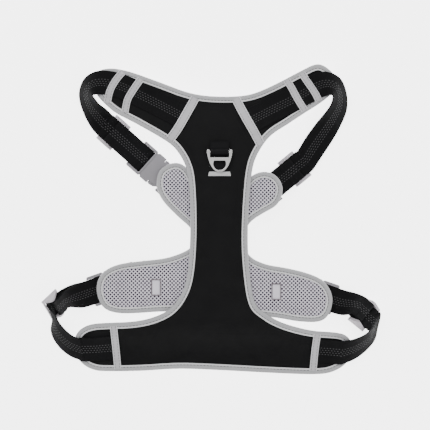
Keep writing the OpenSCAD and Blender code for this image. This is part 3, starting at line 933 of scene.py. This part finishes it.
    def lattice(self, pad: bpy.types.Object, upper: bool, pitch: float, rounded: bool) -> bpy.types.Object:
        """Makes the holed mesh cloth that lies on the pad.

        Args:
            pad: The padded core.
            upper: Whether it is on the upper side.
            pitch: Distance between holes across the panel.
            rounded: Whether the holes' corners are rounded.

        Returns:
            The object.
        """
        limit = self.outline.moved(self.size.binding - 1.2 * MM)
        left, right = min(p.x for p in limit), max(p.x for p in limit)
        front, back = min(p.y for p in limit), max(p.y for p in limit)
        middle = Vector(((left + right) / 2, (front + back) / 2, 0))
        side = pitch / math.sqrt(2)
        spread = 1.45  # so that the turned grid covers the whole panel
        count = int(max(right - left, back - front) * spread / side)
        bm = bmesh.new()
        bmesh.ops.create_grid(bm, x_segments=count, y_segments=count, size=count * side / 2,
                              matrix=Matrix.Translation(middle) @ Matrix.Rotation(math.pi / 4, 4, "Z"))
        far = []
        for face in bm.faces:
            spot = face.calc_center_median()
            near = left < spot.x < right and front < spot.y < back
            if not (near and self.outline.inside(spot.x, spot.y, limit)):
                far.append(face)
        bmesh.ops.delete(bm, geom=far, context="FACES")
        tree = BVHTree.FromObject(pad, bpy.context.evaluated_depsgraph_get())
        sign = 1.0 if upper else -1.0
        outside = sign * 50 * MM + 20 * MM
        level = self.size.high if upper else self.size.low
        for vert in bm.verts:
            start = Vector((vert.co.x, vert.co.y, self.height(vert.co.y, outside)))
            hit = tree.ray_cast(start, Vector((0, 0, -sign)))[0]
            vert.co.z = (hit.z if hit else self.height(vert.co.y, level)) + sign * self.CLOTH_LIFT
        if not upper:
            bmesh.ops.reverse_faces(bm, faces=bm.faces)
        cells = list(bm.faces)
        bmesh.ops.inset_individual(bm, faces=cells, thickness=side * self.THREAD_SHARE, depth=0.0,
                                   use_even_offset=True)
        if rounded:
            bmesh.ops.inset_individual(bm, faces=cells, thickness=side * self.LIP_SHARE,
                                       depth=self.LIP_DEPTH)
        bmesh.ops.inset_individual(bm, faces=cells, thickness=side * self.WALL_SHARE,
                                   depth=self.WALL_DEPTH)
        if rounded:
            corners = list({v for f in cells for v in f.verts})
            bmesh.ops.smooth_vert(bm, verts=corners, factor=0.15, use_axis_x=True, use_axis_y=True,
                                  use_axis_z=False)
        for face in bm.faces:
            face.material_index = 0
        for face in cells:
            if face.is_valid:
                face.material_index = 1
        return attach(Maker.piece(f"{self.name} mesh cloth", bm, Finishes.LINING, Finishes.HOLES), "harness")


# ---------- straps ----------
@dataclass
class StrapLine:
    """A strap that runs from a panel, through a slider, to a buckle or a ring.

    Args:
        key: Name of the line.
        seam: Where the buckle's halves meet, or the ring's end.
        heading: Heading of the buckle towards its socket, in degrees.
        middle: Middle of the slider.
        turn: Heading of the slider.
        dip: Angle that the slider dips by.
        bank: Angle that the slider banks by.
        lead: How far the strap reaches behind the slider's middle.
        lift: How much the strap lifts there.
        side: 1 if the loop's inside is at the slider's left, else -1.
        far_body: Body at the buckle end of the strap.
        slider_body: Body of the slider.
        low: Height of the webbing below the buckle's bar.
        high: Height of the webbing above the bar.
        bar: Distance of the bar from the seam.
        high_bar: Height of the slider's middle bar over the slider's middle.
        return_level: Height of the returning webbing over the slider's middle.
    """

    key: str
    seam: tuple[float, float]
    heading: float
    middle: tuple[float, float, float]
    turn: float
    dip: float
    bank: float
    lead: float
    lift: float
    side: int
    far_body: str
    slider_body: str
    low: float = LINE_MID - TURN_RADIUS
    high: float = LINE_MID + TURN_RADIUS
    bar: float = -5.58
    high_bar: float = 3.21
    return_level: float = 5.12

    def axes(self) -> tuple[Vector, Vector, Vector]:
        """Directions along, across and up through the slider."""
        a, p, b = (math.radians(v) for v in (self.turn, self.dip, self.bank))
        ahead = Vector((math.cos(a) * math.cos(p), math.sin(a) * math.cos(p), -math.sin(p)))
        left = Vector((math.sin(b) * math.sin(p) * math.cos(a) - math.cos(b) * math.sin(a),
                       math.sin(b) * math.sin(p) * math.sin(a) + math.cos(b) * math.cos(a),
                       math.sin(b) * math.cos(p)))
        return ahead, left, ahead.cross(left)

    def in_slider(self, u: float, v: float, side: int = 1) -> Station:
        """A station in the slider.

        Args:
            u: Distance along, in millimetres.
            v: Distance up, in millimetres.
            side: Which edge it faces.
        """
        ahead, left, up = self.axes()
        return at(*self.middle) + ahead * u * MM + up * v * MM, left * side

    def on_line(self, x: float, z: float) -> Station:
        """A station on the buckle's line.

        Args:
            x: Distance towards the socket from the seam, in millimetres.
            z: Height, in millimetres.
        """
        a = math.radians(self.heading)
        ahead = Vector((math.cos(a), math.sin(a), 0))
        return at(*self.seam, z) + ahead * x * MM, Vector((-math.sin(a), math.cos(a), 0))

    def free_strap(self, route: Sequence[tuple]) -> bpy.types.Object:
        """Makes the strap from the panel to the slider.

        Args:
            route: Stations as x, y, height, azimuth and elevation of the inner edge.
        """
        tucked, sunk = 2.5 * MM, 0.15 * MM
        stops = [(at(*s[:3]), facing(*s[3:])) for s in route]
        back = (stops[0][0] - stops[1][0]).normalized()
        stops.insert(0, (stops[0][0] + back * tucked - Vector((0, 0, sunk)), stops[0][1]))
        stops.append(self.in_slider(-self.lead - 2.6, self.lift, self.side))
        stops.append(self.in_slider(-self.lead, 0, self.side))
        made = Ribbon().make(f"{self.key} strap", stops, Finishes.WEBBING)
        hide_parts(self.node("strap"))
        if self.far_body == "harness":
            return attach(made, "harness")
        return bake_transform(made)

    def node(self, kind: str) -> str:
        """The CAD node of a kind on this line, such as its strap.

        Args:
            kind: The kind.
        """
        zone, side = self.key.split()
        return f"{zone}_{kind}_{side}"

    def loop(self) -> list[bpy.types.Object]:
        """Makes the doubled strap between the slider and the bar."""
        lower = [self.in_slider(-self.lead, 0), self.in_slider(0, 0), self.in_slider(10.5, 0.35),
                 self.in_slider(12, 0.5), self.on_line(-24, self.low), self.on_line(-9, self.low),
                 self.on_line(self.bar, self.low)]
        bulge = TURN_RADIUS + 0.5
        for degrees in range(-60, 61, 30):
            a = math.radians(degrees)
            lower.append(self.on_line(self.bar + bulge * math.cos(a), LINE_MID + TURN_RADIUS * math.sin(a)))
        lower += [self.on_line(self.bar, self.high), self.on_line(-9, self.high)]
        upper = [self.on_line(-8.9, self.high), self.on_line(-24, self.high + 0.2),
                 self.in_slider(11, self.return_level), self.in_slider(6, self.return_level)]
        snug = RibbonSize(width=25.7 * MM)
        first = Ribbon(snug).make(f"{self.key} loop under", lower, Finishes.WEBBING)
        second = Ribbon(snug).make(f"{self.key} loop over", upper, Finishes.WEBBING)
        for made in (first, second):
            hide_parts(self.node("loop"))
        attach(first, self.far_body)
        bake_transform(second)
        return [first, second]

    def wrap(self) -> bpy.types.Object:
        """Makes the sewn end folded round the slider's middle bar."""
        stops = [self.in_slider(6.1, self.return_level), self.in_slider(2.5, self.return_level)]
        radius = 1.83
        for degrees in range(90, 301, 30):
            a = math.radians(degrees)
            stops.append(self.in_slider(radius * math.cos(a), self.high_bar + radius * math.sin(a)))
        made = Ribbon().make(f"{self.key} strap end", stops, Finishes.WEBBING, step=0.7 * MM)
        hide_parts(self.node("slider_wrap"))
        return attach(made, self.slider_body)


class Straps:
    """The four adjustable straps."""

    NECK_LEFT = StrapLine("neck left", (-71.6, 56), -41.8, (-107.6, 88.2, 3), -41.8, 0, 0, 12, 0, 1,
                          "neck_male", "neck_adjuster_left")
    NECK_RIGHT = StrapLine("neck right", (49, 28), 219.4, (77, 51, 3), 219.4, 0, 0, 12, 0, -1,
                           "harness", "neck_adjuster_right")
    GIRTH_LEFT = StrapLine("girth left", (-113.8, -68.6), 19.5, (-165.5, -87, 17.5), 44, 17, 55, 5.7, 2.6, 1,
                           "girth_male_left", "girth_adjuster_left")
    GIRTH_RIGHT = StrapLine("girth right", (101.5, -76.9), 161, (147.3, -96.1, 12.2), 141, 8, 30, 9.7, 0, 1,
                            "girth_male_right", "girth_adjuster_right")
    NECK_LEFT_ROUTE = [
        (-112, 137.3, 16.5, 249, 0), (-118, 138, 17.4, 256, 3), (-125, 137, 19.6, 270, 14),
        (-131, 133.5, 20.4, 300, 35), (-134, 127, 19.2, 335, 48), (-133, 120, 16.8, 365, 48),
        (-129, 111.5, 12.6, 385, 40), (-123, 103.5, 7.6, 399, 19)]
    NECK_RIGHT_ROUTE = [
        (99, 134.2, 16.5, -62, 0), (104.5, 136.3, 17.4, -68, 3), (111, 136.5, 19.7, -86, 14),
        (117.5, 133.5, 20.7, -118, 34), (121, 127.5, 19.4, -150, 48), (122, 120, 17, -178, 48),
        (120.5, 111.5, 13.8, -194, 42), (115, 101, 9.8, -205, 32), (106.5, 88, 6.2, -214, 16),
        (97, 74, 3.8, -222, 6)]
    GIRTH_LEFT_ROUTE = [
        (-140.8, -132, 13.2, 96, 20), (-150.3, -128, 12, 86, 24), (-159.5, -120.5, 10.4, 71, 34),
        (-165.8, -111.3, 10.8, 61, 45), (-167.8, -103, 12.8, 62, 56)]
    GIRTH_RIGHT_ROUTE = [
        (125.3, -135.3, 12.4, 94, 19), (136, -132, 12.4, 101, 32), (146.5, -126, 12, 115, 47),
        (154, -118.8, 12, 137, 59), (156.3, -111, 13.3, 191, 63)]

    def make(self) -> None:
        """Makes every strap with its loop and its sewn end."""
        for line, route in ((self.NECK_LEFT, self.NECK_LEFT_ROUTE),
                            (self.NECK_RIGHT, self.NECK_RIGHT_ROUTE),
                            (self.GIRTH_LEFT, self.GIRTH_LEFT_ROUTE),
                            (self.GIRTH_RIGHT, self.GIRTH_RIGHT_ROUTE)):
            line.free_strap(route)
            line.loop()
            line.wrap()


# ---------- the back panel with what is sewn on it ----------
class BackPanel:
    """The upper panel with its webbing, bands and leash ring."""

    LEAVE = 15 * MM  # length over which laid webbing turns into its free strap
    ARM_LEFT = [(-111.6, 137.3), (-99, 134), (-82, 126.5), (-60, 115.5), (-36, 103)]
    ARM_RIGHT = [(98.5, 134), (88, 128.5), (73, 120), (50, 108.5), (28, 97)]
    WING_LEFT = [(-140.8, -132), (-126, -132), (-104, -130)]
    WING_RIGHT = [(125.3, -135.3), (118, -135), (97, -133.5)]
    BANDS = {
        "arm_tip_band_left": ([(-97.5, 148.5), (-104.5, 140), (-110, 130), (-113, 117.5)], 7.2, "ARM_LEFT"),
        "arm_mid_band_left": ([(-79, 141.5), (-87, 130), (-92.5, 120), (-95, 107.5)], 7.2, "ARM_LEFT"),
        "yoke_band_left": ([(-24, 122.5), (-32.5, 107), (-41, 92), (-49.5, 80)], 9.0, "ARM_LEFT"),
        "arm_tip_band_right": ([(83.5, 147.5), (89, 139), (96.5, 128), (101, 119)], 7.2, "ARM_RIGHT"),
        "arm_mid_band_right": ([(68.5, 140.5), (73.5, 132), (80, 120), (86.5, 109.5)], 7.2, "ARM_RIGHT"),
        "yoke_band_right": ([(17, 121.5), (26, 104), (35, 88), (42, 75)], 9.0, "ARM_RIGHT"),
        "wing_band_left": ([(-106.4, -107.5), (-105, -125), (-103, -152.5)], 7.2, "WING_LEFT"),
        "wing_band_right": ([(99.2, -116), (97.6, -130), (95.6, -154.5)], 7.2, "WING_RIGHT"),
    }

    SINK = 0.1  # of the cloth between its creases, in millimetres
    # Middle, length, width, heading in degrees and height, in millimetres
    CREASES = ((-2, -76, 34, 5, 12, 0.55), (6, -66, 28, 4, -8, 0.4), (-6, -102, 40, 6, 6, 0.5),
               (14, -118, 46, 6, -6, 0.4), (-60, -126, 34, 6, 4, 0.4), (2, 92, 26, 6, 60, 0.35),
               (10, 30, 30, 7, 80, 0.25), (-8, -20, 34, 6, 96, 0.3), (60, -138, 30, 5, -4, 0.35))

    def __init__(self) -> None:
        self.size = PanelSize(17.0 * MM, 21.6 * MM)
        self.outline = Outline("back_shell", self.size.tape, self.size.high)
        self.panel = Panel("back panel", self.size, self.outline)
        self.above = self.size.high + 0.25 * MM
        self.webbing_mid = self.above + 0.55 * MM
        self.sewn = [p for route, _, _ in self.BANDS.values() for p in route]

    def held(self, spot: Vector) -> float:
        """How firmly seams hold the pad at a point.

        Args:
            spot: The point.
        """
        return self.panel.firmness(spot, self.sewn, 9 * MM)

    @staticmethod
    def crease(spot: Vector) -> float:
        """Height that the cloth's soft creases add at a point.

        Args:
            spot: The point.
        """
        x, y = spot.x / MM - SPINE_X, spot.y / MM
        total = 0.0
        for cx, cy, long, wide, angle, high in BackPanel.CREASES:
            a = math.radians(angle)
            along = (x - cx) * math.cos(a) + (y - cy) * math.sin(a)
            across = -(x - cx) * math.sin(a) + (y - cy) * math.cos(a)
            total += high * math.exp(-(along / long) ** 2 * 2 - (across / wide) ** 2)
        return (total - BackPanel.SINK) * MM

    def drape(self, piece: bpy.types.Object, free: Station | None = None) -> None:
        """Lays a flat piece on the panel.

        Args:
            piece: The piece, made at the level where the panel isn't sagging.
            free: First station of the free strap that it runs into.
        """
        for vert in piece.data.vertices:
            spot = vert.co
            laid = self.outline.drop(spot.y)
            if free:
                centre, side = free
                flat = side.xy.length
                across = (spot.xy - centre.xy).dot(side.xy) / flat
                away = math.sqrt(max(0.0, (spot.xy - centre.xy).length_squared - across * across))
                share = max(0.0, 1 - away / self.LEAVE)
                share = share * share * (3 - 2 * share)
                target = centre.z + across * side.z / flat - self.webbing_mid
                laid += (target - laid) * share
            spot.z += laid
        piece.data.update()

    def laid(self, name: str, route: Sequence[tuple[float, float]],
             strap: Sequence[tuple]) -> bpy.types.Object:
        """Makes webbing that lies on the panel.

        Args:
            name: CAD node it stands for.
            route: Its middle line.
            strap: Route of the free strap that it runs into.
        """
        level = self.webbing_mid / MM
        stops = []
        for i, (x, y) in enumerate(route):
            a, b = route[max(i - 1, 0)], route[min(i + 1, len(route) - 1)]
            d = Vector((b[0] - a[0], b[1] - a[1], 0)).normalized()
            stops.append((at(x, y, level), Vector((-d.y, d.x, 0))))
        made = Ribbon().make(f"woven {name}", stops, Finishes.WEBBING)
        self.drape(made, (at(*strap[0][:3]), facing(*strap[0][3:])))
        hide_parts(name)
        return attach(made, "harness")

    def band(self, name: str, path: Sequence[tuple[float, float]], width: float, under: str) -> None:
        """Makes a band that crosses webbing, with its seams.

        Args:
            name: CAD node it stands for.
            path: Its middle line.
            width: Width in millimetres.
            under: Name of the route it crosses.
        """
        webbing = RibbonSize()
        past, step_at = 25 * MM, webbing.width / 2 + 0.9 * MM
        crossed = [at(x, y, 0) for x, y in getattr(self, under)]
        crossed.insert(0, crossed[0] + (crossed[0] - crossed[1]).normalized() * past)
        crossed.append(crossed[-1] + (crossed[-1] - crossed[-2]).normalized() * past)
        fine_route = [p for p, _ in smooth([(p, Vector((1, 0, 0))) for p in crossed], 1 * MM)]
        points = [p for p, _ in smooth([(at(x, y, 0), Vector((1, 0, 0))) for x, y in path], 1.2 * MM)]
        stops = []
        for i, p in enumerate(points):
            ahead = (points[min(i + 1, len(points) - 1)] - points[max(i - 1, 0)]).normalized()
            gap = min((p.xy - q.xy).length for q in fine_route)
            climb = webbing.thick / (1 + math.exp((gap - step_at) / (0.5 * MM)))
            stops.append((Vector((p.x, p.y, self.above + 0.25 * MM + climb)), Vector((-ahead.y, ahead.x, 0))))
        size = RibbonSize(width * MM, 0.6 * MM, 0.06 * MM)
        made = Ribbon(size).make(f"woven {name}", stops, Finishes.KEEPER, tape=True)
        self.drape(made)
        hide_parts(name)
        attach(made, "harness")
        lines = [[p + s * side * (width / 2 - 1.5) * MM + Vector((0, 0, 0.34 * MM)) for p, s in stops]
                 for side in (-1, 1)]
        seam = Stitching(2.2 * MM, 3.0 * MM, 0.2 * MM).make(f"{name} seam", lines)
        self.drape(seam)

    def make(self) -> None:
        """Makes the panel and everything sewn to it."""
        pad = self.panel.core(self.crease, self.held, Finishes.SHELL, Finishes.HOLES)
        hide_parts("back_shell", "back_padding")
        mesh = self.panel.lattice(pad, False, 4.6 * MM, False)
        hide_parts("back_lining")
        self.panel.binding("back_binding")
        self.panel.seam()
        self.laid("arm_webbing_left", self.ARM_LEFT, Straps.NECK_LEFT_ROUTE)
        self.laid("arm_webbing_right", self.ARM_RIGHT, Straps.NECK_RIGHT_ROUTE)
        self.laid("wing_webbing_left", self.WING_LEFT, Straps.GIRTH_LEFT_ROUTE)
        self.laid("wing_webbing_right", self.WING_RIGHT, Straps.GIRTH_RIGHT_ROUTE)
        for name, (path, width, under) in self.BANDS.items():
            self.band(name, path, width, under)
        Softened(0.95 * MM, 4).make("back_ring", Finishes.METAL, "back leash ring", "back_leash_ring")
        Softened(0.3 * MM).make("back_ring_webbing", Finishes.PLAIN_WEBBING, "back ring holder", "harness")
        Softened(0.2 * MM).make("back_ring_label", Finishes.LABEL, "back ring strip", "harness")


class ChestPanel:
    """The lower panel, whose mesh side faces up, with what is sewn under it."""

    def __init__(self) -> None:
        self.size = PanelSize(10.7 * MM, 15.3 * MM)
        self.outline = Outline("chest_shell", self.size.tape, self.size.high)
        self.outline.drops = [(-1.0, 0.0), (1.0, 0.0)]
        self.panel = Panel("chest panel", self.size, self.outline)

    def held(self, spot: Vector) -> float:
        """How firmly seams hold the pad at a point.

        Args:
            spot: The point.
        """
        return self.panel.firmness(spot, TACKS, 12 * MM)

    def tack(self, name: str, x: float, y: float) -> None:
        """Makes the close stitches round a bartack tab.

        Args:
            name: Name of the stitches.
            x: Middle from the spine line, in millimetres.
            y: Middle towards the neck, in millimetres.
        """
        level, wide, long = 16.6, 4.4, 7.8  # its height, and half its width and length
        corners = ((-wide, -long), (-wide, long), (wide, long), (wide, -long), (-wide, -long))
        box = [at(x + a, y + b, level) for a, b in corners]
        Stitching(1.5 * MM, 0.9 * MM, 0.6 * MM).make(name, [box], Finishes.TACK)

    def make(self) -> None:
        """Makes the panel and everything sewn to it."""
        pad = self.panel.core(lambda spot: 0.0, self.held, Finishes.HOLES, Finishes.SHELL)
        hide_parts("chest_shell", "chest_padding")
        mesh = self.panel.lattice(pad, True, 3.9 * MM, True)
        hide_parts("chest_lining")
        self.panel.binding("chest_binding")
        self.panel.seam()
        self.tack("chest tack seam left", *TACKS[0])
        self.tack("chest tack seam right", *TACKS[1])
        Softened(0.2 * MM).make("chest_bartacks", Finishes.LINING, "chest tacks", "harness")
        Softened(0.25 * MM).make("chest_webbing", Finishes.PLAIN_WEBBING, "front webbing", "harness")
        Softened(0.95 * MM, 4).make("chest_ring", Finishes.METAL, "chest leash ring", "chest_leash_ring")
        Softened(0.3 * MM).make("chest_ring_webbing", Finishes.PLAIN_WEBBING, "chest ring holder", "harness")


class Hardware:
    """Buckles, sliders, the lobe ring and the webbing that anchors them."""

    BUCKLES = {
        "neck_male": ("neck_buckle_male", "neck_buckle_socket"),
        "girth_male_left": ("girth_buckle_male_left", "girth_buckle_socket_left"),
        "girth_male_right": ("girth_buckle_male_right", "girth_buckle_socket_right"),
    }
    PRONGS = {
        "neck_prong_in": "neck_prong_inner", "neck_prong_out": "neck_prong_outer",
        "girth_left_prong_in": "girth_prong_inner_left", "girth_left_prong_out": "girth_prong_outer_left",
        "girth_right_prong_in": "girth_prong_inner_right", "girth_right_prong_out": "girth_prong_outer_right",
    }
    SLIDERS = {
        "neck_adjuster_left": "neck_slider_left", "neck_adjuster_right": "neck_slider_right",
        "girth_adjuster_left": "girth_slider_left", "girth_adjuster_right": "girth_slider_right",
    }

    def make(self) -> None:
        """Makes every moulded piece and every anchor."""
        for body, (male, socket) in self.BUCKLES.items():
            Softened(0.5 * MM, 3).make(male, Finishes.PLASTIC, f"moulded {male}", body)
            Softened(0.6 * MM, 3).make(socket, Finishes.PLASTIC, f"moulded {socket}", "harness")
        for body, node in self.PRONGS.items():
            Softened(0.35 * MM).make(node, Finishes.PLASTIC, f"moulded {node}", body)
        for body, node in self.SLIDERS.items():
            Softened(0.85 * MM, 4).make(node, Finishes.SLIDER, f"moulded {node}", body)
        for node in ("neck_anchor", "girth_anchor_left", "girth_anchor_right", "lobe_tab"):
            Softened(0.25 * MM).make(node, Finishes.PLAIN_WEBBING, f"woven {node}", "harness")
        Softened(0.4 * MM, 3).make("lobe_ring", Finishes.PLASTIC, "moulded lobe ring", "harness")


# ---------- studio ----------
class Studio:
    """Floor, light and camera."""

    LENS, SENSOR = 123.0, 36.0
    EYE = (2.5 * MM, 4.1 * MM, 1.5)
    GLOW = 4.0

    def floor(self) -> None:
        """Makes the pale floor."""
        bm = bmesh.new()
        bmesh.ops.create_grid(bm, x_segments=1, y_segments=1, size=3.0)
        mesh = bpy.data.meshes.new("floor")
        bm.to_mesh(mesh)
        bm.free()
        made = bpy.data.objects.new("floor", mesh)
        made.location.z = -0.2 * MM
        bpy.context.scene.collection.objects.link(made)
        pale = bpy.data.materials.new("floor")
        pale.use_nodes = True
        surface = pale.node_tree.nodes["Principled BSDF"]
        surface.inputs["Base Color"].default_value = (0.93, 0.93, 0.93, 1)
        surface.inputs["Roughness"].default_value = 0.9
        surface.inputs["Emission Color"].default_value = (1, 1, 1, 1)
        surface.inputs["Emission Strength"].default_value = self.GLOW
        mesh.materials.append(pale)

    def light(self, name: str, spot: tuple, size: float, power: float) -> None:
        """Adds a soft light that faces the middle.

        Args:
            name: Its name.
            spot: Its place.
            size: Its size.
            power: Its power.
        """
        lamp = bpy.data.lights.new(name, "AREA")
        lamp.shape = "DISK"
        lamp.size = size
        lamp.energy = power
        made = bpy.data.objects.new(name, lamp)
        made.location = spot
        made.rotation_euler = (-Vector(spot)).to_track_quat("-Z", "Y").to_euler()
        bpy.context.scene.collection.objects.link(made)

    def camera(self) -> None:
        """Adds the camera, which looks straight down."""
        lens = bpy.data.cameras.new("camera")
        lens.lens, lens.sensor_width = self.LENS, self.SENSOR
        made = bpy.data.objects.new("camera", lens)
        made.location = self.EYE
        bpy.context.scene.collection.objects.link(made)
        bpy.context.scene.camera = made

    def make(self) -> None:
        """Sets the whole studio."""
        world = bpy.data.worlds.new("studio")
        world.use_nodes = True
        back = world.node_tree.nodes["Background"]
        back.inputs[0].default_value = (1, 1, 1, 1)
        back.inputs[1].default_value = 0.75
        bpy.context.scene.world = world
        self.floor()
        self.light("key", (-0.5, 0.9, 1.5), 1.1, 16.0)
        self.light("fill", (0.9, -0.5, 1.4), 1.4, 8.0)
        self.camera()


def main() -> None:
    """Builds the whole scene."""
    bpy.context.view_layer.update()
    BackPanel().make()
    ChestPanel().make()
    Straps().make()
    Hardware().make()
    Studio().make()


if __name__ == "__main__":
    main()
